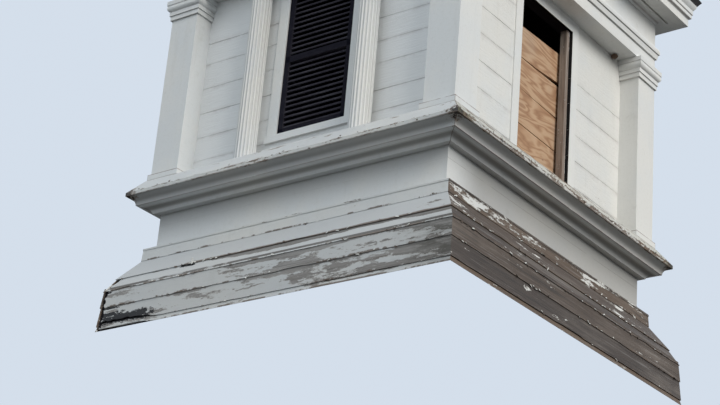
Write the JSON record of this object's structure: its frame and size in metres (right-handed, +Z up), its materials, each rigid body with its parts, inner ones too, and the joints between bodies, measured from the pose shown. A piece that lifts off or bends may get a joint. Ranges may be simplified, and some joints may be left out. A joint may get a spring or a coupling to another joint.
{
  "type": "church steeple",
  "caption": "Square timber church steeple: flared lapped skirt, moulded ledge, louvred belfry with corner pilasters and fluted columns, entablature and tapering shingled spire.",
  "frame": {"origin": "centre of the base, on the level line where the skirt and pedestal end", "axes": "+Z up, -Y the front face with columns, +X the right face with the boarded opening"},
  "size_m": [3.67, 3.67, 8.2587],
  "materials": {
    "white_paint": "painted, flaking",
    "worn_paint": "peeled paint on grey wood",
    "dark_paint": "dark paint",
    "bare_wood": "bare, weathered",
    "shingle": "mineral granules, matt",
    "cap_metal": "dull grey"
  },
  "bodies": {
    "root": {"front_skirt": "worn_paint", "front_pedestal_wall": "white_paint", "front_ledge": "white_paint", "front_wall": "white_paint", "front_casing": "white_paint", "front_entablature": "white_paint", "front_cornice": "white_paint", "front_spire_slope": "shingle", "right_skirt": "worn_paint", "right_pedestal_wall": "white_paint", "right_ledge": "white_paint", "right_wall": "white_paint", "right_casing": "white_paint", "right_entablature": "white_paint", "right_cornice": "white_paint", "right_spire_slope": "shingle", "back_skirt": "worn_paint", "back_pedestal_wall": "white_paint", "back_ledge": "white_paint", "back_wall": "white_paint", "back_casing": "white_paint", "back_entablature": "white_paint", "back_cornice": "white_paint", "back_spire_slope": "shingle", "left_skirt": "worn_paint", "left_pedestal_wall": "white_paint", "left_ledge": "white_paint", "left_wall": "white_paint", "left_casing": "white_paint", "left_entablature": "white_paint", "left_cornice": "white_paint", "left_spire_slope": "shingle", "front_louvre": "dark_paint", "back_louvre": "dark_paint", "left_louvre": "dark_paint", "front_left_column": "white_paint", "front_right_column": "white_paint", "back_left_column": "white_paint", "back_right_column": "white_paint", "front_left_pilaster": "white_paint", "front_right_pilaster": "white_paint", "back_right_pilaster": "white_paint", "back_left_pilaster": "white_paint", "belfry_floor": "bare_wood", "right_opening_boards": "bare_wood", "right_opening_post": "bare_wood", "spire_cap": "cap_metal"}
  },
  "joints": []
}
